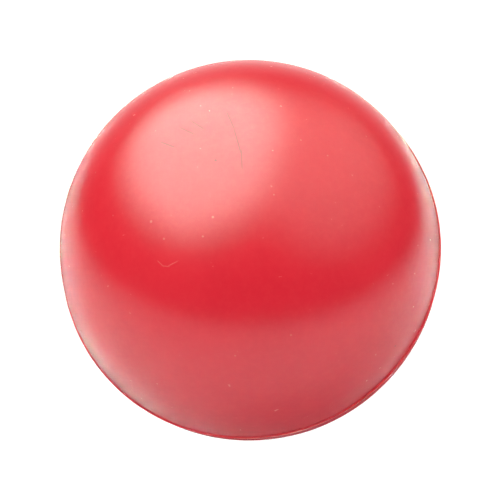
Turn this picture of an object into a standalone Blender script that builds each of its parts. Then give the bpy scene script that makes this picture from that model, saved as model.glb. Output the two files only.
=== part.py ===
"""Foam stress ball: two moulded skin halves round a foam core, a parting-line bead and a vent stub.

Frame: metres, +Z up along the pole axis. The origin is the ball's centre, on the parting plane z = 0.
The upper half comes from the slightly smaller half of the mould, so the lower half's rim stands proud of it.
"""

from math import acos, asin, cos, pi, sin

import bpy

# ---- driving dimensions, in metres ----
BALL_RADIUS = 0.0350  # lower half, which sets the ball's overall size
RIM_STEP = 0.00036  # how far the lower half's rim stands out past the upper half
SKIN = 0.0013  # dense moulded skin with its coat of paint
GAP = 0.0003  # clearance between pieces that touch on the real ball
BEAD_HEIGHT = 0.00036  # trimmed flash along the parting line
BEAD_PROUD = 0.00014  # how far the flash stands out past the lower half
VENT_RADIUS = 0.0030  # foam stub in the vent at the lower pole
VENT_ROOT = 0.0034  # how far the stub reaches into the ball

# ---- smoothness ----
TURN_STEPS = 64  # faces round the skins and the bead
ARC_STEPS = 14  # faces from pole to rim
CORE_TURN_STEPS = 40  # faces round the core and the stub
CORE_ARC_STEPS = 20
MERGE_DISTANCE = 0.00001

# ---- worked out from the above ----
UPPER_RADIUS = BALL_RADIUS - RIM_STEP
UPPER_INNER = UPPER_RADIUS - SKIN
LOWER_INNER = BALL_RADIUS - SKIN
CORE_RADIUS = UPPER_INNER - GAP
RIM_Z = GAP / 2
BEAD_INNER = UPPER_RADIUS + GAP
BEAD_OUTER = BALL_RADIUS + BEAD_PROUD
BEAD_CHAMFER = BEAD_HEIGHT / 4
VENT_HOLE_RADIUS = VENT_RADIUS + GAP
FOOT_Z = -BALL_RADIUS


def clear_scene():
    for old in list(bpy.data.objects):
        bpy.data.objects.remove(old, do_unlink=True)


def collection(name):
    made = bpy.data.collections.new(name)
    bpy.context.scene.collection.children.link(made)
    return made


def material(name, colour, roughness):
    made = bpy.data.materials.new(name)
    made.use_nodes = True
    surface = made.node_tree.nodes["Principled BSDF"]
    surface.inputs["Base Color"].default_value = (*colour, 1.0)
    surface.inputs["Roughness"].default_value = roughness
    surface.inputs["Metallic"].default_value = 0.0
    return made


def arc(radius, start, end, steps):
    """Points (x, z) on a circle about the origin; angles run from the +Z pole, in radians."""
    angles = [start + (end - start) * n / steps for n in range(steps + 1)]
    return [(radius * sin(a), radius * cos(a)) for a in angles]


def angle_at_height(radius, z):
    """Angle from the +Z pole to the circle's point at height z."""
    return acos(z / radius)


def angle_at_hole(radius, hole_radius):
    """Angle from the +Z pole to the edge of a hole of that radius at the lower pole."""
    return pi - asin(hole_radius / radius)


def turned(name, profile, steps, paint, parts, closed=False):
    """A solid turned about Z from a profile that runs down its outer side."""
    mesh = bpy.data.meshes.new(name)
    points = [(x, 0.0, z) for x, z in profile]
    edges = [(n, n + 1) for n in range(len(points) - 1)]
    if closed:
        edges.append((len(points) - 1, 0))
    mesh.from_pydata(points, edges, [])
    mesh.materials.append(paint)
    piece = bpy.data.objects.new(name, mesh)
    parts.objects.link(piece)
    screw = piece.modifiers.new("turn", "SCREW")
    screw.axis = "Z"
    screw.angle = 2 * pi
    screw.steps = steps
    screw.render_steps = steps
    screw.use_merge_vertices = True
    screw.merge_threshold = MERGE_DISTANCE
    screw.use_smooth_shade = True
    return piece


def upper_skin(paint, parts):
    """Dome shell from the upper pole down to the parting plane."""
    outside = arc(UPPER_RADIUS, 0.0, angle_at_height(UPPER_RADIUS, RIM_Z), ARC_STEPS)
    inside = arc(UPPER_INNER, angle_at_height(UPPER_INNER, RIM_Z), 0.0, ARC_STEPS)
    turned("upper_skin", outside + inside, TURN_STEPS, paint, parts)


def lower_skin(paint, parts):
    """Bowl shell below the parting plane, with the vent's round hole at its pole."""
    outside = arc(
        BALL_RADIUS,
        angle_at_height(BALL_RADIUS, -RIM_Z),
        angle_at_hole(BALL_RADIUS, VENT_HOLE_RADIUS),
        ARC_STEPS,
    )
    inside = arc(
        LOWER_INNER,
        angle_at_hole(LOWER_INNER, VENT_HOLE_RADIUS),
        angle_at_height(LOWER_INNER, -RIM_Z),
        ARC_STEPS,
    )
    turned("lower_skin", outside + inside, TURN_STEPS, paint, parts, closed=True)


def parting_bead(paint, parts):
    """The trimmed flash: a thin ring above the lower half's rim, with a chamfered outer edge."""
    bottom = RIM_Z
    top = bottom + BEAD_HEIGHT
    profile = [
        (BEAD_INNER, top),
        (BEAD_OUTER - BEAD_CHAMFER, top),
        (BEAD_OUTER, top - BEAD_CHAMFER),
        (BEAD_OUTER, bottom + BEAD_CHAMFER),
        (BEAD_OUTER - BEAD_CHAMFER, bottom),
        (BEAD_INNER, bottom),
    ]
    turned("parting_bead", profile, TURN_STEPS, paint, parts, closed=True)


def foam_core(paint, parts):
    """The ball of foam inside the skins, dished at its lower pole to leave room for the vent stub's root."""
    dish_top = FOOT_Z + VENT_ROOT + GAP
    outside = arc(CORE_RADIUS, 0.0, angle_at_hole(CORE_RADIUS, VENT_HOLE_RADIUS), CORE_ARC_STEPS)
    dish = [(VENT_HOLE_RADIUS, dish_top), (0.0, dish_top)]
    turned("foam_core", outside + dish, CORE_TURN_STEPS, paint, parts)


def vent_stub(paint, parts):
    """The foam that rose through the vent, cut off flat at the ball's lowest point."""
    root = FOOT_Z + VENT_ROOT
    profile = [(0.0, root), (VENT_RADIUS, root), (VENT_RADIUS, FOOT_Z), (0.0, FOOT_Z)]
    stub = turned("vent_stub", profile, CORE_TURN_STEPS, paint, parts)
    stub.modifiers["turn"].use_smooth_shade = False


def build():
    clear_scene()
    parts = collection("stress_ball")
    red = material("painted_skin", (0.78, 0.02, 0.04), 0.33)
    bare = material("bare_foam", (0.80, 0.50, 0.42), 0.90)
    upper_skin(red, parts)
    lower_skin(red, parts)
    parting_bead(red, parts)
    foam_core(bare, parts)
    vent_stub(bare, parts)


build()
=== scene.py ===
"""Looks of the foam stress ball: its two painted skin halves, the trimmed flash between them, the vent
scar, the foam core, and the studio.

Everything is in metres in the CAD frame: the ball's centre at the origin and +Z along the pole axis, out
of the smooth upper half. Angles on the ball are in degrees: a polar angle counts from the +Z pole, and a
heading turns about +Z from +X towards +Y.
"""

import math

import bmesh
import bpy
import numpy as np
from mathutils import Matrix, Vector, noise


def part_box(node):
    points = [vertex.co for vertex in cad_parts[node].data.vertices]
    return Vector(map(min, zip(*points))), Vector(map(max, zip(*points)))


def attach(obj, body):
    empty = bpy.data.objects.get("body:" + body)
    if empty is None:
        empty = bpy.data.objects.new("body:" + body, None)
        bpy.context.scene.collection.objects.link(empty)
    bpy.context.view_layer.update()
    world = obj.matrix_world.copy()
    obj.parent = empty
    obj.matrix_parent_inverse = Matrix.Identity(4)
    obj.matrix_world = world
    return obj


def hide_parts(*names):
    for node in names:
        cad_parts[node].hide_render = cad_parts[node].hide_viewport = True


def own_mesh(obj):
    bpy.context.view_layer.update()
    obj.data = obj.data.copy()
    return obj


MM = 0.001

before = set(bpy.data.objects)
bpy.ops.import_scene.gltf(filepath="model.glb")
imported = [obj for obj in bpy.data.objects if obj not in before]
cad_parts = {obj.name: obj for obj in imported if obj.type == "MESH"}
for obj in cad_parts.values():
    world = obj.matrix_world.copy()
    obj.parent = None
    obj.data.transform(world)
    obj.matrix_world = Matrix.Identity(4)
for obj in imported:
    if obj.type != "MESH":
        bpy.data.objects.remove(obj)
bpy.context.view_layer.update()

# ---- sizes that the CAD settles ----
UPPER_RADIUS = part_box("upper_skin")[1].x
LOWER_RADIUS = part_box("lower_skin")[1].x
CORE_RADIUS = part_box("foam_core")[1].x
FLASH_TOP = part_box("parting_bead")[1].z
FLASH_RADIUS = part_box("parting_bead")[1].x
VENT_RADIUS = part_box("vent_stub")[1].x
VENT_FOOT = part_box("vent_stub")[0].z
VENT_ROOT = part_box("vent_stub")[1].z
CAD_GAP = 0.3 * MM  # the clearance that the CAD keeps between bonded pieces
SKIN = UPPER_RADIUS - CORE_RADIUS - CAD_GAP


# ---------------------------------------------------------------- mesh helpers
def direction_at(polar, heading):
    """Unit vector at a polar angle and a heading, in radians."""
    return Vector(
        (
            math.sin(polar) * math.cos(heading),
            math.sin(polar) * math.sin(heading),
            math.cos(polar),
        )
    )


def unit_point(polar_deg, heading_deg):
    """Unit vector at a polar angle and a heading, in degrees."""
    return direction_at(math.radians(polar_deg), math.radians(heading_deg))


def off_axis(radius, heading, z):
    """Point at a distance from the pole axis, a heading in radians and a height."""
    return Vector((radius * math.cos(heading), radius * math.sin(heading), z))


def join_rings(one, other):
    """Quads between two closed rings that have the same number of points."""
    count = len(one)
    quads = []
    for n in range(count):
        after = (n + 1) % count
        quads.append((one[n], other[n], other[after], one[after]))
    return quads


def smoothstep(x):
    """0 up to 0, 1 from 1 on, and a smooth rise between."""
    x = min(1.0, max(0.0, x))
    return x * x * (3 - 2 * x)


def new_piece(name, points, faces):
    """A smooth-shaded mesh object with its faces turned outwards."""
    mesh = bpy.data.meshes.new(name)
    mesh.from_pydata([tuple(p) for p in points], [], faces)
    mesh.validate()
    bm = bmesh.new()
    bm.from_mesh(mesh)
    bmesh.ops.recalc_face_normals(bm, faces=bm.faces)
    bm.to_mesh(mesh)
    bm.free()
    mesh.shade_smooth()
    piece = bpy.data.objects.new(name, mesh)
    bpy.context.scene.collection.objects.link(piece)
    return piece


def remember_rest(piece):
    """Stores each point's place at rest, in millimetres, so that patterns stay put in a squeeze."""
    mesh = piece.data
    rest = np.empty(len(mesh.vertices) * 3, np.float32)
    mesh.vertices.foreach_get("co", rest)
    stored = mesh.attributes.new("rest_mm", "FLOAT_VECTOR", "POINT")
    stored.data.foreach_set("vector", rest / MM)


def wrap_columns(column_count, per_column):
    """Quads of a closed band: columns of points side by side round the pole axis, each column closed."""
    quads = []
    for column in range(column_count):
        here = column * per_column
        beside = ((column + 1) % column_count) * per_column
        for n in range(per_column):
            after = (n + 1) % per_column
            quads.append((here + n, here + after, beside + after, beside + n))
    return quads


# Slow unevenness of a moulded skin: waves per radius, and height in millimetres.
BROAD_WAVES = 2.4
BROAD_HEIGHT = 0.045
MIDDLE_WAVES = 6.0
MIDDLE_HEIGHT = 0.014


def waviness(direction, seed):
    """The skin's unevenness, in metres, for a unit direction from the centre."""
    offset = Vector((seed, 2.3 * seed, -seed))
    broad = noise.noise(direction * BROAD_WAVES + offset)
    middle = noise.noise(direction * MIDDLE_WAVES - offset)
    return (BROAD_HEIGHT * broad + MIDDLE_HEIGHT * middle) * MM


def dent(direction, centre, width_deg, depth):
    """A shallow round dent pressed into the skin, in metres."""
    away = math.degrees(direction.angle(centre))
    return -depth * math.exp(-((away / width_deg) ** 2))


# Shallow dents in each half: polar angle, heading, width in degrees, depth.
UPPER_DENTS = [
    (12, 171, 2.0, 0.035 * MM),
    (25, 108, 2.6, 0.015 * MM),
    (33, 20, 2.6, 0.020 * MM),
]
LOWER_DENTS = [
    (118, 60, 3.0, 0.030 * MM),
    (141, 215, 2.4, 0.030 * MM),
    (105, 300, 2.0, 0.022 * MM),
]
# Each half's unevenness is its own part of the noise:
UPPER_SEED = 3.0
LOWER_SEED = 7.0


def skin_radius(direction, radius, seed, dents):
    """The skin's outer radius in a unit direction, with its unevenness and its dents."""
    pressed = sum(dent(direction, unit_point(p, h), w, d) for p, h, w, d in dents)
    return radius + waviness(direction, seed) + pressed


# ---------------------------------------------------------------- upper skin
def disc_grid(half_count):
    """A square grid drawn out to a disc: (x, y) of each point in the unit circle, the faces, the rim."""
    side = 2 * half_count + 1
    points = []
    for row in range(side):
        for column in range(side):
            x = column / half_count - 1
            y = row / half_count - 1
            ring = max(abs(x), abs(y))
            if ring == 0:
                points.append((0.0, 0.0))
                continue
            if abs(x) >= abs(y):
                turn = math.pi / 4 * y / x + (0 if x > 0 else math.pi)
            else:
                turn = math.pi / 2 - math.pi / 4 * x / y + (0 if y > 0 else math.pi)
            points.append((ring * math.cos(turn), ring * math.sin(turn)))
    faces = []
    for row in range(side - 1):
        for column in range(side - 1):
            first = row * side + column
            faces.append((first, first + 1, first + side + 1, first + side))
    last = side - 1
    rim = list(range(last))
    rim += [row * side + last for row in range(last)]
    rim += [last * side + column for column in range(last, 0, -1)]
    rim += [row * side for row in range(last, 0, -1)]
    return points, faces, rim


RIM_START = 0.25  # degrees above the parting plane, where the rolled rim begins
INNER_RINGS = 8  # rings on the inner surface, which nobody sees


def skin_shell(name, outer_at, inner_radius, rim_profile, half_count):
    """A closed dome shell above the parting plane. outer_at gives the outer surface's radius in a unit
    direction, and rim_profile the (radius, height) steps from it round the rim to the inner surface."""
    grid, faces, loop = disc_grid(half_count)
    top_angle = math.radians(90 - RIM_START)
    points = []
    for x, y in grid:
        direction = direction_at(math.hypot(x, y) * top_angle, math.atan2(y, x))
        points.append(direction * outer_at(direction))
    headings = [math.atan2(points[n].y, points[n].x) for n in loop]

    rings = [[off_axis(radius, h, height) for h in headings] for radius, height in rim_profile]
    for step in range(1, INNER_RINGS + 1):
        polar = math.radians(90 * (1 - step / (INNER_RINGS + 1)))
        rings.append([direction_at(polar, h) * inner_radius for h in headings])
    for ring_points in rings:
        ring = list(range(len(points), len(points) + len(headings)))
        points += ring_points
        faces += join_rings(loop, ring)
        loop = ring

    pole = len(points)
    points.append(Vector((0, 0, inner_radius)))
    count = len(loop)
    for n in range(count):
        faces.append((loop[n], pole, loop[(n + 1) % count]))
    return new_piece(name, points, faces)


def build_upper_skin(half_count):
    """The skin swells very slightly towards its rim, where the mould closed on it."""
    round_over = 0.05 * MM
    rim_height = 0.02 * MM
    swell = 0.10 * MM
    swell_height = 3.0 * MM

    def outer(direction):
        swollen = swell * (1 - smoothstep(direction.z * UPPER_RADIUS / swell_height))
        return skin_radius(direction, UPPER_RADIUS + swollen, UPPER_SEED, UPPER_DENTS)

    rim_radius = UPPER_RADIUS + swell
    inner_radius = UPPER_RADIUS - SKIN
    rim = [
        (rim_radius - 0.3 * round_over, 0.7 * round_over),
        (rim_radius - round_over, rim_height),
        (inner_radius, rim_height),
    ]
    return skin_shell("upper_half_skin", outer, inner_radius, rim, half_count)


# ---------------------------------------------------------------- lower skin
def build_lower_skin(headings_count, rows):
    """The bowl below the parting line, open round the vent, with a rounded land where the mould closed."""
    hole = VENT_RADIUS + 0.10 * MM
    lip = 0.35 * MM
    rounding = 0.22 * MM
    sway_height = 0.05 * MM
    rim_sway = 0.4  # share of the sway that the rim takes
    sway_fade = 4  # degrees below the rim
    torn_depth = 0.07 * MM
    inner_radius = LOWER_RADIUS - SKIN
    inner_steps = 10
    first_polar = 90.0 + math.degrees(rounding / LOWER_RADIUS)
    last_polar = 180 - math.degrees(math.asin((hole + lip) / LOWER_RADIUS))
    lip_steps = ((0.55, 0.02 * MM), (0.85, 0.10 * MM), (1.0, 0.30 * MM))  # share inward, rise

    def outer_points(heading_deg):
        """Down the outside: the land, the rounded rim, the bowl, then the lip turned in at the vent."""
        h = math.radians(heading_deg)
        sway = sway_height * noise.noise(Vector((4 * math.cos(h), 4 * math.sin(h), 9.0)))
        rim_radius = LOWER_RADIUS + rim_sway * sway
        line = [
            (UPPER_RADIUS - SKIN, 0.0),
            (UPPER_RADIUS - 0.25 * MM, 0.0),
            (UPPER_RADIUS + 0.02 * MM, 0.0),
            (rim_radius - rounding, 0.0),
            (rim_radius - 0.11 * MM, -0.02 * MM),
            (rim_radius - 0.03 * MM, -0.09 * MM),
        ]
        points = [off_axis(radius, h, z) for radius, z in line]
        for row in range(rows + 1):
            polar = first_polar + (last_polar - first_polar) * row / rows
            direction = unit_point(polar, heading_deg)
            radius = skin_radius(direction, LOWER_RADIUS, LOWER_SEED, LOWER_DENTS)
            near_rim = 1 - smoothstep((polar - 90) / sway_fade)
            points.append(direction * (radius + near_rim * rim_sway * sway))
        edge = points[-1].z
        torn = torn_depth * noise.noise(Vector((3 * math.cos(h), 3 * math.sin(h), 21.0)))
        for inward, rise in lip_steps:
            radius = hole + lip * (1 - inward) + torn * inward
            points.append(off_axis(radius, h, edge + rise))
        return points

    def inner_points(heading_deg):
        """Back up the inside, from the vent to the rim."""
        first = 180 - math.degrees(math.asin(hole / inner_radius))
        step = (90.5 - first) / inner_steps
        return [
            unit_point(first + step * n, heading_deg) * inner_radius for n in range(inner_steps + 1)
        ]

    points = []
    for column in range(headings_count):
        heading_deg = 360 * column / headings_count
        points += outer_points(heading_deg) + inner_points(heading_deg)
    faces = wrap_columns(headings_count, len(points) // headings_count)
    return new_piece("lower_half_skin", points, faces)


# ---------------------------------------------------------------- parting-line flash
def build_flash(headings_count):
    """The thin fin that squeezed out between the mould halves and was cut back by hand: its height and
    reach vary."""
    inner = UPPER_RADIUS + 0.18 * MM
    reach = FLASH_RADIUS - 0.03 * MM
    full_height = FLASH_TOP - 0.15 * MM
    foot = -0.03 * MM
    foot_bulge = 0.05 * MM
    ring_count = 8
    points = []
    for column in range(headings_count):
        heading = 2 * math.pi * column / headings_count
        around = off_axis(1, heading, 0)
        slow = noise.noise(around * 3.1 + Vector((0, 0, 5)))
        quick = noise.noise(around * 17.0 + Vector((0, 0, 11)))
        nick = smoothstep(3.0 * noise.noise(around * 9.0 + Vector((0, 0, 31))) - 0.9)
        height = full_height * (0.62 + 0.30 * slow + 0.16 * quick) * (1 - 0.7 * nick)
        outer = reach + (0.05 * slow + 0.03 * quick) * MM
        half_width = (outer - inner) / 2
        middle = (outer + inner) / 2
        for k in range(ring_count):
            turn = 2 * math.pi * k / ring_count
            rise = max(0.0, math.sin(turn)) * height
            fall = max(0.0, -math.sin(turn)) * foot_bulge
            radius = middle + half_width * math.cos(turn)
            points.append(around * radius + Vector((0, 0, foot + rise - fall)))
    return new_piece("parting_line_flash", points, wrap_columns(headings_count, ring_count))


# ---------------------------------------------------------------- vent scar
def build_vent(headings_count):
    """The foam in the vent, cut off with a blade: open cells, a slightly torn rim and a short root."""
    root_radius = VENT_RADIUS * 0.97
    shoulder = 0.25 * MM
    torn_height = 0.06 * MM
    cell_depth = 0.10 * MM
    unevenness = 0.03 * MM
    cut_rings = 22
    root = [(root_radius, VENT_ROOT), (root_radius, VENT_FOOT + shoulder)]
    torn_rim = [
        (VENT_RADIUS * (1 - 0.03 * k), VENT_FOOT + torn_height * (1 - k / 4)) for k in range(1, 4)
    ]
    cut = [(VENT_RADIUS * 0.9 * (1 - k / cut_rings), VENT_FOOT) for k in range(cut_rings)]
    profile = root + torn_rim + cut

    points = [Vector((0, 0, VENT_ROOT))]
    for column in range(headings_count):
        heading = 2 * math.pi * column / headings_count
        for n, (radius, z) in enumerate(profile):
            spot = off_axis(radius, heading, z)
            if n >= len(root):
                cell = noise.voronoi(spot / MM * 2.6)[0][0]
                spot.z += cell_depth * (1 - smoothstep(cell * 2.2))
                spot.z += unevenness * (1 + noise.noise(spot / MM * 0.9))
            points.append(spot)
    points.append(Vector((0, 0, VENT_FOOT + unevenness)))

    pole_foot = len(points) - 1
    per_column = len(profile)
    faces = []
    for column in range(headings_count):
        here = 1 + column * per_column
        beside = 1 + ((column + 1) % headings_count) * per_column
        faces.append((0, here, beside))
        for n in range(per_column - 1):
            faces.append((here + n, here + n + 1, beside + n + 1, beside + n))
        faces.append((here + per_column - 1, pole_foot, beside + per_column - 1))
    return new_piece("vent_scar", points, faces)


# ---------------------------------------------------------------- foam core
def build_core():
    """The foam inside, with the open cells that show where it is cut, dished over the vent's root."""
    clearance = 0.05 * MM
    cell_depth = 0.16 * MM
    unevenness = 0.04 * MM
    dish_radius = VENT_RADIUS + 1.2 * MM
    dish_slope = 1.0 * MM
    dish_top = VENT_ROOT + 0.2 * MM
    bm = bmesh.new()
    bmesh.ops.create_icosphere(bm, subdivisions=6, radius=1.0)
    for v in bm.verts:
        direction = v.co.normalized()
        cell = noise.voronoi(direction * 34)[0][0]
        pits = cell_depth * (1 - smoothstep(cell * 2.4))
        v.co = direction * (CORE_RADIUS - clearance - pits + unevenness * noise.noise(direction * 7))
        from_axis = math.hypot(v.co.x, v.co.y)
        dished = smoothstep((dish_radius - from_axis) / dish_slope)
        if v.co.z < 0 and dished > 0:
            v.co.z += dished * max(0.0, dish_top - v.co.z)
    mesh = bpy.data.meshes.new("foam_core_cells")
    bm.to_mesh(mesh)
    bm.free()
    mesh.shade_smooth()
    piece = bpy.data.objects.new("foam_core_cells", mesh)
    bpy.context.scene.collection.objects.link(piece)
    return piece


# ---------------------------------------------------------------- material helpers
class Nodes:
    """Small helper that adds nodes to a material, light or world and links them as it goes."""

    def __init__(self, tree):
        self.tree = tree
        self.tree.nodes.clear()

    def add(self, kind, **settings):
        made = self.tree.nodes.new(kind)
        for key, value in settings.items():
            setattr(made, key, value)
        return made

    def plug(self, socket, value):
        if isinstance(value, bpy.types.NodeSocket):
            self.tree.links.new(value, socket)
        elif value is not None:
            socket.default_value = value

    def math(self, operation, a, b=None, c=None):
        made = self.add("ShaderNodeMath", operation=operation)
        for socket, value in zip(made.inputs, (a, b, c)):
            self.plug(socket, value)
        return made.outputs[0]

    def vector(self, operation, a, b=None):
        made = self.add("ShaderNodeVectorMath", operation=operation)
        self.plug(made.inputs[0], a)
        self.plug(made.inputs[1], b)
        return made.outputs["Value" if operation in ("DOT_PRODUCT", "DISTANCE") else "Vector"]

    def ramp(self, value, low, high, to_low=0.0, to_high=1.0):
        """Smooth step of value from low to high."""
        made = self.add("ShaderNodeMapRange", interpolation_type="SMOOTHSTEP")
        names = ("Value", "From Min", "From Max", "To Min", "To Max")
        for name, x in zip(names, (value, low, high, to_low, to_high)):
            self.plug(made.inputs[name], x)
        return made.outputs["Result"]

    def noise(self, place, scale, detail=2.0, rough=0.5):
        made = self.add("ShaderNodeTexNoise")
        self.plug(made.inputs["Vector"], place)
        made.inputs["Scale"].default_value = scale
        made.inputs["Detail"].default_value = detail
        made.inputs["Roughness"].default_value = rough
        return made.outputs["Fac"]

    def cells(self, place, scale):
        made = self.add("ShaderNodeTexVoronoi", feature="F1")
        self.plug(made.inputs["Vector"], place)
        made.inputs["Scale"].default_value = scale
        return made

    def mix(self, share, a, b):
        made = self.add("ShaderNodeMix", data_type="RGBA")
        self.plug(made.inputs[0], share)
        self.plug(made.inputs[6], a)
        self.plug(made.inputs[7], b)
        return made.outputs[2]


def rest_place(nodes, offset=(0, 0, 0)):
    """Place on the ball at rest, in millimetres, moved by an offset to another part of the noise."""
    stored = nodes.add("ShaderNodeAttribute", attribute_name="rest_mm")
    return nodes.vector("ADD", stored.outputs["Vector"], offset)


def specks(nodes, place, spacing, radius, share):
    """Small round flecks, one in each cell of that spacing, shown in a share of the cells. Spacing and
    radius are in millimetres."""
    grid = nodes.cells(place, 1 / spacing)
    chosen = nodes.add("ShaderNodeSeparateColor")
    nodes.plug(chosen.inputs["Color"], grid.outputs["Color"])
    shown = nodes.math("LESS_THAN", chosen.outputs["Red"], share)
    cell_radius = radius / spacing
    size = nodes.math("MULTIPLY_ADD", chosen.outputs["Green"], cell_radius, cell_radius * 0.5)
    inside = nodes.math("SUBTRACT", size, grid.outputs["Distance"])
    edge = nodes.ramp(inside, 0.0, cell_radius * 0.6)
    return nodes.math("MULTIPLY", edge, shown)


def hairline(nodes, place, start, end, width):
    """A fine line on the great circle between two (polar, heading) points, fading at both ends."""
    a = unit_point(*start)
    b = unit_point(*end)
    across = a.cross(b).normalized()
    middle = (a + b).normalized()
    along = across.cross(middle)
    reach = a.angle(b) / 2
    ray = nodes.vector("NORMALIZE", place)
    off_line = nodes.math("ABSOLUTE", nodes.vector("DOT_PRODUCT", ray, tuple(across)))
    off_middle = nodes.math("ABSOLUTE", nodes.vector("DOT_PRODUCT", ray, tuple(along)))
    width_share = width / (UPPER_RADIUS / MM)
    line = nodes.ramp(off_line, 0.0, width_share, 1.0, 0.0)
    end_fade = nodes.ramp(off_middle, math.sin(reach) * 0.45, math.sin(reach), 1.0, 0.0)
    side = nodes.math("GREATER_THAN", nodes.vector("DOT_PRODUCT", ray, tuple(middle)), 0.5)
    return nodes.math("MULTIPLY", nodes.math("MULTIPLY", line, end_fade), side)


def spots(nodes, place, marks):
    """Soft round specks at fixed places on the skin."""
    shown = None
    for polar, heading, radius in marks:
        centre = unit_point(polar, heading) * (UPPER_RADIUS / MM)
        away = nodes.vector("DISTANCE", place, tuple(centre))
        one = nodes.ramp(away, radius * 0.3, radius, 1.0, 0.0)
        shown = one if shown is None else nodes.math("MAXIMUM", shown, one)
    return shown


def lines(nodes, place, marks):
    """Fine lines at fixed places on the skin."""
    shown = None
    for start, end, width in marks:
        one = hairline(nodes, place, start, end, width)
        shown = one if shown is None else nodes.math("MAXIMUM", shown, one)
    return shown


def principled(nodes, colour, roughness, bump_normal, specular=0.5):
    """The surface shader, plugged into the material's output."""
    surface = nodes.add("ShaderNodeBsdfPrincipled")
    nodes.plug(surface.inputs["Base Color"], colour)
    nodes.plug(surface.inputs["Roughness"], roughness)
    nodes.plug(surface.inputs["Normal"], bump_normal)
    surface.inputs["IOR"].default_value = 1.5
    surface.inputs["Specular IOR Level"].default_value = specular
    output = nodes.add("ShaderNodeOutputMaterial")
    nodes.plug(output.inputs["Surface"], surface.outputs["BSDF"])
    return surface


def bump(nodes, height_mm):
    """Normal bent by a height in millimetres."""
    made = nodes.add("ShaderNodeBump")
    made.inputs["Strength"].default_value = 1.0
    made.inputs["Distance"].default_value = MM
    nodes.plug(made.inputs["Height"], height_mm)
    return made.outputs["Normal"]


# ---------------------------------------------------------------- painted skin
SKIN_RED = (0.81, 0.025, 0.052, 1)
SKIN_RED_DEEP = (0.77, 0.021, 0.047, 1)
SKIN_RED_WORN = (0.84, 0.040, 0.060, 1)
DUST = (0.90, 0.42, 0.38, 1)
# Grime for the dark flecks and specks, also used as painted shade along the creases:
GRIME_AND_CREASE_SHADE = (0.20, 0.03, 0.035, 1)
SKIN_ROUGHNESS = 0.26

# Fine creases from handling, darkened with painted shade, and a light fibre caught in the paint:
# ((polar, heading), (polar, heading), width in millimetres).
CREASES = [
    ((28.5, 111), (21, 106), 0.22),
    ((28, 96.5), (21, 87.5), 0.20),
    ((28.5, 88.5), (21.5, 79.5), 0.20),
    ((29, 66), (20, 56), 0.18),
    ((23, 60), (12, 39), 0.18),
    ((16, 47.5), (8.5, 27), 0.16),
]
FIBRES = [
    ((26, -165.5), (25.9, -158), 0.16),
    ((26.3, -161), (24.6, -155), 0.16),
    ((25.6, -157.5), (21.5, -152), 0.16),
]
# Specks on the smooth half: polar angle, heading, radius in millimetres.
LIGHT_SPECKS = [
    (47.5, 135.5, 0.24),
    (35, 157.5, 0.20),
    (22, 169.5, 0.34),
    (6.5, -141.5, 0.30),
    (20.5, -173, 0.28),
    (12.5, -143, 0.26),
    (28.5, 15, 0.22),
    (33, 0.5, 0.22),
    (19.5, 20.5, 0.20),
    (51, 5.5, 0.22),
    (14, -23.5, 0.22),
    (46, -113.5, 0.22),
    (44, -90, 0.24),
]
DARK_SPECKS = [(11, 77, 0.26), (77, -62.5, 0.22)]

# Patterns in the paint, in cycles per millimetre:
CLOUD_SCALE = 0.09
MOTTLE_SCALE = 0.8
GRAIN_SCALE = 3.6
# Flecks: spacing and radius in millimetres, and the share of places that hold one.
PALE_FLECKS = (4.2, 0.09, 0.22)
DARK_FLECKS = (9.0, 0.10, 0.25)
# How far each pattern pulls the colour towards its own:
MOTTLE_MIX = 0.25
PALE_FLECK_MIX = 0.12
DARK_FLECK_MIX = 0.5
LIGHT_MARK_MIX = 0.14
# The creases pull the colour towards dark red as painted shade:
CREASE_SHADE_MIX = 0.52
DARK_MARK_MIX = 0.70
# How much each pattern roughens the gloss:
MOTTLE_ROUGHNESS = 0.06
FLECK_ROUGHNESS = 0.15
SHEEN_ROUGHNESS = 0.4
# How high each pattern stands, in millimetres:
GRAIN_HEIGHT = 0.0030
MOTTLE_HEIGHT = 0.0060
FLECK_HEIGHT = 0.008
LIGHT_MARK_HEIGHT = 0.020
CREASE_HEIGHT = -0.03


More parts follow.
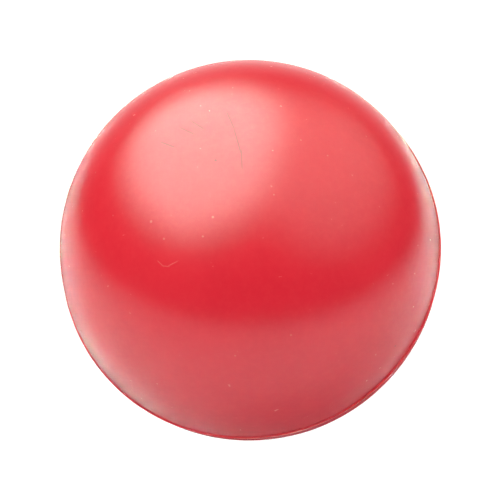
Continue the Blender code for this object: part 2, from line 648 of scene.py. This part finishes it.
def painted_skin(name, marked, seed, sheen=0.0):
    """Satin in-mould paint: nearly even red, faint clouding, an eggshell grain and flecks of dust. The
    marked half also has the creases, darkened with painted shade, the fibre and the specks listed above.
    Sheen stands for the paint dust that clings to a cut edge."""
    material = bpy.data.materials.new(name)
    material.use_nodes = True
    nodes = Nodes(material.node_tree)
    place = rest_place(nodes, (seed, -seed, 2 * seed))

    clouds = nodes.noise(place, CLOUD_SCALE, 3.0, 0.55)
    mottle = nodes.noise(place, MOTTLE_SCALE, 3.0, 0.6)
    grain = nodes.noise(place, GRAIN_SCALE, 2.0, 0.55)
    pale_flecks = specks(nodes, place, *PALE_FLECKS)
    dark_flecks = specks(nodes, rest_place(nodes, (31 + seed, 7, 13)), *DARK_FLECKS)

    worn = nodes.math("MULTIPLY", nodes.ramp(mottle, 0.35, 0.75), MOTTLE_MIX)
    colour = nodes.mix(nodes.ramp(clouds, 0.3, 0.7), SKIN_RED_DEEP, SKIN_RED)
    colour = nodes.mix(worn, colour, SKIN_RED_WORN)
    colour = nodes.mix(nodes.math("MULTIPLY", pale_flecks, PALE_FLECK_MIX), colour, DUST)
    colour = nodes.mix(nodes.math("MULTIPLY", dark_flecks, DARK_FLECK_MIX), colour, GRIME_AND_CREASE_SHADE)

    unevenness = nodes.math("SUBTRACT", mottle, 0.5)
    rough = nodes.math("MULTIPLY_ADD", unevenness, MOTTLE_ROUGHNESS, SKIN_ROUGHNESS)
    rough = nodes.math("MULTIPLY_ADD", pale_flecks, FLECK_ROUGHNESS, rough)

    height = nodes.math("MULTIPLY", grain, GRAIN_HEIGHT)
    height = nodes.math("MULTIPLY_ADD", mottle, MOTTLE_HEIGHT, height)
    height = nodes.math("MULTIPLY_ADD", pale_flecks, FLECK_HEIGHT, height)

    if marked:
        here = rest_place(nodes)
        creased = lines(nodes, here, CREASES)
        fibres = lines(nodes, here, FIBRES)
        light = nodes.math("MAXIMUM", spots(nodes, here, LIGHT_SPECKS), fibres)
        dark = spots(nodes, here, DARK_SPECKS)
        colour = nodes.mix(nodes.math("MULTIPLY", light, LIGHT_MARK_MIX), colour, DUST)
        # Painted shade: the creases are darkened in colour for the shade and the lost gloss in them.
        colour = nodes.mix(nodes.math("MULTIPLY", creased, CREASE_SHADE_MIX), colour, GRIME_AND_CREASE_SHADE)
        colour = nodes.mix(nodes.math("MULTIPLY", dark, DARK_MARK_MIX), colour, GRIME_AND_CREASE_SHADE)
        height = nodes.math("MULTIPLY_ADD", creased, CREASE_HEIGHT, height)
        height = nodes.math("MULTIPLY_ADD", light, LIGHT_MARK_HEIGHT, height)

    surface = principled(nodes, colour, rough, bump(nodes, height))
    surface.inputs["Sheen Weight"].default_value = sheen
    surface.inputs["Sheen Roughness"].default_value = SHEEN_ROUGHNESS
    return material


# ---------------------------------------------------------------- bare foam
FOAM_DEEP = (0.78, 0.25, 0.22, 1)
FOAM_PALE = (0.84, 0.34, 0.29, 1)
PORE_SHADE_RED = (0.45, 0.08, 0.08, 1)
FINE_PORE_SHADE_RED = (0.55, 0.12, 0.11, 1)
# Cells per millimetre, share of painted shade and height in millimetres of the large and the fine pores:
PORES = (2.4, 0.6, -0.16)
FINE_PORES = (5.5, 0.3, -0.06)
FOAM_ROUGHNESS = 0.86
PORE_ROUGHNESS = 0.08


def cut_foam(name):
    """Bare open-cell foam, where the ball was cut and in its core: salmon pink, with painted shade
    darkening its pores.
    """
    material = bpy.data.materials.new(name)
    material.use_nodes = True
    nodes = Nodes(material.node_tree)
    place = rest_place(nodes)
    scale, share, depth = PORES
    fine_scale, fine_share, fine_depth = FINE_PORES
    pores = nodes.cells(place, scale)
    small = nodes.cells(rest_place(nodes, (5, 9, 2)), fine_scale)
    hollow = nodes.ramp(pores.outputs["Distance"], 0.15, 0.55, 1.0, 0.0)
    fine = nodes.ramp(small.outputs["Distance"], 0.1, 0.5, 1.0, 0.0)
    colour = nodes.mix(nodes.noise(place, 0.5, 3.0), FOAM_DEEP, FOAM_PALE)
    # Painted shade: the pores are darkened in colour for the shade inside the cells.
    colour = nodes.mix(nodes.math("MULTIPLY", hollow, share), colour, PORE_SHADE_RED)
    colour = nodes.mix(nodes.math("MULTIPLY", fine, fine_share), colour, FINE_PORE_SHADE_RED)
    rough = nodes.math("MULTIPLY_ADD", hollow, PORE_ROUGHNESS, FOAM_ROUGHNESS)
    height = nodes.math("MULTIPLY", hollow, depth)
    height = nodes.math("MULTIPLY_ADD", fine, fine_depth, height)
    principled(nodes, colour, rough, bump(nodes, height), specular=0.3)
    return material


# ---------------------------------------------------------------- camera
# The camera looks down on the smooth half. Its own axes also place the studio's lights.
POLE_LEAN = 16.5  # degrees between the pole axis and the camera's direction
CAMERA_ROLL = 26.0  # degrees that the picture is turned about its centre
CAMERA_DISTANCE = 10 * UPPER_RADIUS
LENS = 135.7  # millimetres
SENSOR_WIDTH = 36  # millimetres
CENTRE_SHIFT = (0.0018, -0.0015)  # shares of the picture's width


def camera_axes():
    """(right, up, back) of the camera in the ball's frame."""
    lean = math.radians(POLE_LEAN)
    roll = math.radians(CAMERA_ROLL)
    back = Vector((0, -math.sin(lean), math.cos(lean)))
    flat_right = Vector((1, 0, 0))
    flat_up = back.cross(flat_right)
    right = flat_right * math.cos(roll) - flat_up * math.sin(roll)
    up = flat_right * math.sin(roll) + flat_up * math.cos(roll)
    return right, up, back


RIGHT, UP, BACK = camera_axes()


def add_camera():
    data = bpy.data.cameras.new("camera")
    data.lens = LENS
    data.sensor_width = SENSOR_WIDTH
    data.shift_x, data.shift_y = CENTRE_SHIFT
    data.clip_start = 0.01
    data.clip_end = 10
    camera = bpy.data.objects.new("camera", data)
    bpy.context.scene.collection.objects.link(camera)
    turn = Matrix((RIGHT, UP, BACK)).transposed().to_4x4()
    camera.matrix_world = Matrix.Translation(BACK * CAMERA_DISTANCE) @ turn
    bpy.context.scene.camera = camera


# ---------------------------------------------------------------- studio
# Two soft boxes, a white table card and a white sweep behind the ball make its gloss: they are set to be
# mirrored only. Two sky lamps, each as wide as half the sky, light its colour evenly.
# Angles are in degrees and distances in metres.
BOX_WHITE = (1.0, 1.0, 0.90)
WHITE = (1.0, 1.0, 0.97)
# Soft boxes: heading and distance from the camera's direction, roll, half width, half height, edge
# softness as a share of those halves, and level.
LARGE_BOX = (117, 66.5, -17.5, 36, 46, 0.38, 7.9)
SMALL_BOX = (50.5, 66.5, 20, 37, 43, 0.50, 2.0)
BOX_REACH = 1.0
CORNER_POWER = 3.5  # 2 would make the boxes oval, and a high number square
# Table card: how far its upward direction leans from the camera's towards the picture's top, and where
# its edge fades in, down from that direction.
TABLE_LEAN = 59
TABLE_EDGE = (99, 110)
TABLE_LEVEL = 1.50
TABLE_DROP = 0.5
TABLE_REACH = 2.45
# The ball's own soft shadow on the table, as the ball mirrors it:
SHADE_AT = (-75, 129)
SHADE_REACH = 61
SHADE_DEPTH = 0.92
# The table is brighter straight behind the ball:
BEHIND_EDGE = (140, 170)
BEHIND_SHARE = 1.40
# Sweep card behind the ball:
SWEEP_EDGE = (112, 165)
SWEEP_LEVEL = 1.10
SWEEP_DROP = 0.3
SWEEP_REACH = 0.85
# Sky lamps: where the brighter one stands along the camera's right, up and back, and their levels.
SKY_FROM = (-0.27, 0.95, 0.13)
SKY_BRIGHT = 3.92
SKY_DIM = 1.90
SKY_WARM = (1.0, 1.0, 0.75)
# Table surface that the ball rests on, just below it:
FLOOR_HALF = 1.5
FLOOR_GAP = 0.02 * MM
FLOOR_GREY = (0.30, 0.30, 0.30, 1)
FLOOR_GLOW = 0.92


def seen_from_camera(heading, away):
    """Unit direction at an angle away from the camera's direction, towards a heading in the picture (0 is
    right and 90 is up)."""
    a = math.radians(away)
    h = math.radians(heading)
    return (
        RIGHT * math.sin(a) * math.cos(h) + UP * math.sin(a) * math.sin(h) + BACK * math.cos(a)
    )


TABLE_UP = seen_from_camera(90, TABLE_LEAN)


def angle_to(nodes, ray, direction):
    """Degrees between ray and a fixed direction."""
    turned = nodes.math("ARCCOSINE", nodes.vector("DOT_PRODUCT", ray, tuple(direction)))
    return nodes.math("MULTIPLY", turned, 180 / math.pi)


def table_share(nodes, ray):
    """1 where a ray from the ball meets the table card, and 0 above its soft edge."""
    return nodes.ramp(angle_to(nodes, ray, TABLE_UP), *TABLE_EDGE)


def table_glow(nodes, ray):
    """The table card's edge is soft. It darkens under the ball and brightens behind it."""
    off_shade = angle_to(nodes, ray, seen_from_camera(*SHADE_AT))
    shade = nodes.ramp(off_shade, 0, SHADE_REACH, SHADE_DEPTH, 0.0)
    left_open = nodes.math("SUBTRACT", 1.0, shade)
    behind = nodes.ramp(angle_to(nodes, ray, BACK), *BEHIND_EDGE, 1.0, BEHIND_SHARE)
    card = nodes.math("MULTIPLY", table_share(nodes, ray), left_open)
    return nodes.math("MULTIPLY", card, behind)


def sweep_glow(nodes, ray):
    """The sweep brightens towards straight behind the ball, down to where the table begins."""
    rise = nodes.ramp(angle_to(nodes, ray, BACK), *SWEEP_EDGE)
    return nodes.math("MULTIPLY", rise, nodes.math("SUBTRACT", 1.0, table_share(nodes, ray)))


def box_axes(heading, away, roll):
    """A soft box's direction from the ball, its width direction and its height direction."""
    centre = seen_from_camera(heading, away)
    outward = seen_from_camera(heading, away + 90)
    across = centre.cross(outward)
    r = math.radians(roll)
    width_way = across * math.cos(r) - outward * math.sin(r)
    height_way = outward * math.cos(r) + across * math.sin(r)
    return centre, width_way, height_way


def box_glow(box):
    """The shading of a soft box with rounded corners: even in the middle, fading out round its edge."""
    heading, away, roll, half_width, half_height, softness, _ = box
    centre, width_way, height_way = box_axes(heading, away, roll)

    def glow(nodes, ray):
        ahead = nodes.vector("DOT_PRODUCT", ray, tuple(centre))
        total = None
        for way, half in ((width_way, half_width), (height_way, half_height)):
            side = nodes.vector("DOT_PRODUCT", ray, tuple(way))
            share = nodes.math("DIVIDE", nodes.math("ARCTAN2", side, ahead), math.radians(half))
            powered = nodes.math("POWER", nodes.math("ABSOLUTE", share), CORNER_POWER)
            total = powered if total is None else nodes.math("ADD", total, powered)
        outness = nodes.math("POWER", total, 1 / CORNER_POWER)
        return nodes.ramp(outness, 1 - softness, 1 + softness, 1.0, 0.0)

    return glow


def add_panel(name, place, facing, width_way, size, look, traced=False):
    """An area light that only gloss mirrors. Its look is its level, its colour and its glow, a pattern
    over directions from the ball's centre. Traced, it is also found by rays that the ball reflects,
    which shows it better at grazing angles."""
    level, colour, glow = look
    lamp = bpy.data.lights.new(name, "AREA")
    lamp.shape = "RECTANGLE"
    lamp.size, lamp.size_y = size
    lamp.energy = math.pi * size[0] * size[1] * level
    lamp.color = colour
    lamp.cycles.use_multiple_importance_sampling = traced
    lamp.use_nodes = True
    nodes = Nodes(lamp.node_tree)
    ray = nodes.vector("NORMALIZE", nodes.add("ShaderNodeNewGeometry").outputs["Position"])
    emission = nodes.add("ShaderNodeEmission")
    nodes.plug(emission.inputs["Strength"], glow(nodes, ray))
    output = nodes.add("ShaderNodeOutputLight")
    nodes.plug(output.inputs["Surface"], emission.outputs["Emission"])
    panel = bpy.data.objects.new(name, lamp)
    bpy.context.scene.collection.objects.link(panel)
    z = -facing.normalized()
    x = width_way.normalized()
    turn = Matrix((x, z.cross(x), z)).transposed().to_4x4()
    panel.matrix_world = Matrix.Translation(place) @ turn
    panel.visible_diffuse = False
    panel.visible_camera = False


def add_soft_box(name, box):
    heading, away, roll, half_width, half_height, softness, level = box
    centre, width_way, _ = box_axes(heading, away, roll)
    halves = (half_width, half_height)
    size = [2 * BOX_REACH * math.tan(math.radians(half * (1 + softness))) for half in halves]
    look = (level, BOX_WHITE, box_glow(box))
    add_panel(name, centre * BOX_REACH, -centre, width_way, size, look)


def add_sky_lamp(name, direction, energy, colour):
    """A sun as wide as half the sky. It lights colour and leaves no mirror image."""
    lamp = bpy.data.lights.new(name, "SUN")
    lamp.angle = math.pi
    lamp.energy = energy
    lamp.color = colour
    lamp.cycles.use_multiple_importance_sampling = False
    sky = bpy.data.objects.new(name, lamp)
    bpy.context.scene.collection.objects.link(sky)
    sky.matrix_world = direction.to_track_quat("Z", "Y").to_matrix().to_4x4()
    sky.visible_glossy = False


def add_card(name, facing, drop, reach, look, traced=False):
    """A square card that faces the ball's centre, drop away from it. It spans twice its reach."""
    add_panel(name, facing * -drop, facing, RIGHT, (2 * reach, 2 * reach), look, traced)


def build_lights():
    add_soft_box("large_soft_box", LARGE_BOX)
    add_soft_box("small_soft_box", SMALL_BOX)
    table_look = (TABLE_LEVEL, WHITE, table_glow)
    add_card("table_card", TABLE_UP, TABLE_DROP, TABLE_REACH, table_look)
    sweep_look = (SWEEP_LEVEL, WHITE, sweep_glow)
    add_card("sweep_card", BACK, SWEEP_DROP, SWEEP_REACH, sweep_look, traced=True)
    right, up, back = SKY_FROM
    sky_from = (RIGHT * right + UP * up + BACK * back).normalized()
    add_sky_lamp("sky_bright_side", sky_from, SKY_BRIGHT, SKY_WARM)
    add_sky_lamp("sky_dim_side", -sky_from, SKY_DIM, WHITE)


def build_world():
    """White beyond the table, for the camera only."""
    world = bpy.data.worlds.new("studio")
    bpy.context.scene.world = world
    world.use_nodes = True
    nodes = Nodes(world.node_tree)
    background = nodes.add("ShaderNodeBackground")
    background.inputs["Color"].default_value = (1, 1, 1, 1)
    output = nodes.add("ShaderNodeOutputWorld")
    nodes.plug(output.inputs["Surface"], background.outputs["Background"])
    world.cycles.sampling_method = "NONE"
    world.cycles_visibility.diffuse = False
    world.cycles_visibility.glossy = False


def build_floor():
    """Plain pale table that the ball rests on. The lights reach through it."""
    corners = [(-1, -1), (1, -1), (1, 1), (-1, 1)]
    points = [(FLOOR_HALF * x, FLOOR_HALF * y, 0) for x, y in corners]
    floor = new_piece("studio_floor", points, [(0, 1, 2, 3)])
    floor.location.z = -LOWER_RADIUS - FLOOR_GAP
    floor.visible_diffuse = False
    floor.visible_glossy = False
    floor.visible_shadow = False
    material = bpy.data.materials.new("pale_table")
    material.use_nodes = True
    nodes = Nodes(material.node_tree)
    surface = nodes.add("ShaderNodeBsdfDiffuse")
    surface.inputs["Color"].default_value = FLOOR_GREY
    glow = nodes.add("ShaderNodeEmission")
    glow.inputs["Strength"].default_value = FLOOR_GLOW
    both = nodes.add("ShaderNodeAddShader")
    nodes.plug(both.inputs[0], surface.outputs["BSDF"])
    nodes.plug(both.inputs[1], glow.outputs["Emission"])
    output = nodes.add("ShaderNodeOutputMaterial")
    nodes.plug(output.inputs["Surface"], both.outputs["Shader"])
    floor.data.materials.append(material)


# ---------------------------------------------------------------- putting it together
def fit_to_frame(piece, material, node, body):
    """Rides on its body, stands for its CAD node and takes its slot."""
    remember_rest(piece)
    piece.data.materials.append(material)
    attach(piece, body)
    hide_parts(node)
    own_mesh(piece)


def main():
    grid_half = 140
    around = 480
    rows = 110
    flash_columns = 3 * around
    vent_columns = 96
    add_camera()
    build_world()
    build_lights()
    build_floor()
    bpy.context.scene.view_settings.view_transform = "Standard"

    above = painted_skin("painted_skin_upper", True, 0.0)
    below = painted_skin("painted_skin_lower", False, 40.0)
    seam = painted_skin("painted_skin_seam", False, 80.0, sheen=0.4)
    foam = cut_foam("bare_foam")

    upper_skin = build_upper_skin(grid_half)
    fit_to_frame(upper_skin, above, "upper_skin", "upper_half")
    lower_skin = build_lower_skin(around, rows)
    fit_to_frame(lower_skin, below, "lower_skin", "lower_half")
    flash = build_flash(flash_columns)
    fit_to_frame(flash, seam, "parting_bead", "lower_half")
    core = build_core()
    fit_to_frame(core, foam, "foam_core", "lower_half")
    vent = build_vent(vent_columns)
    fit_to_frame(vent, foam, "vent_stub", "lower_half")


main()
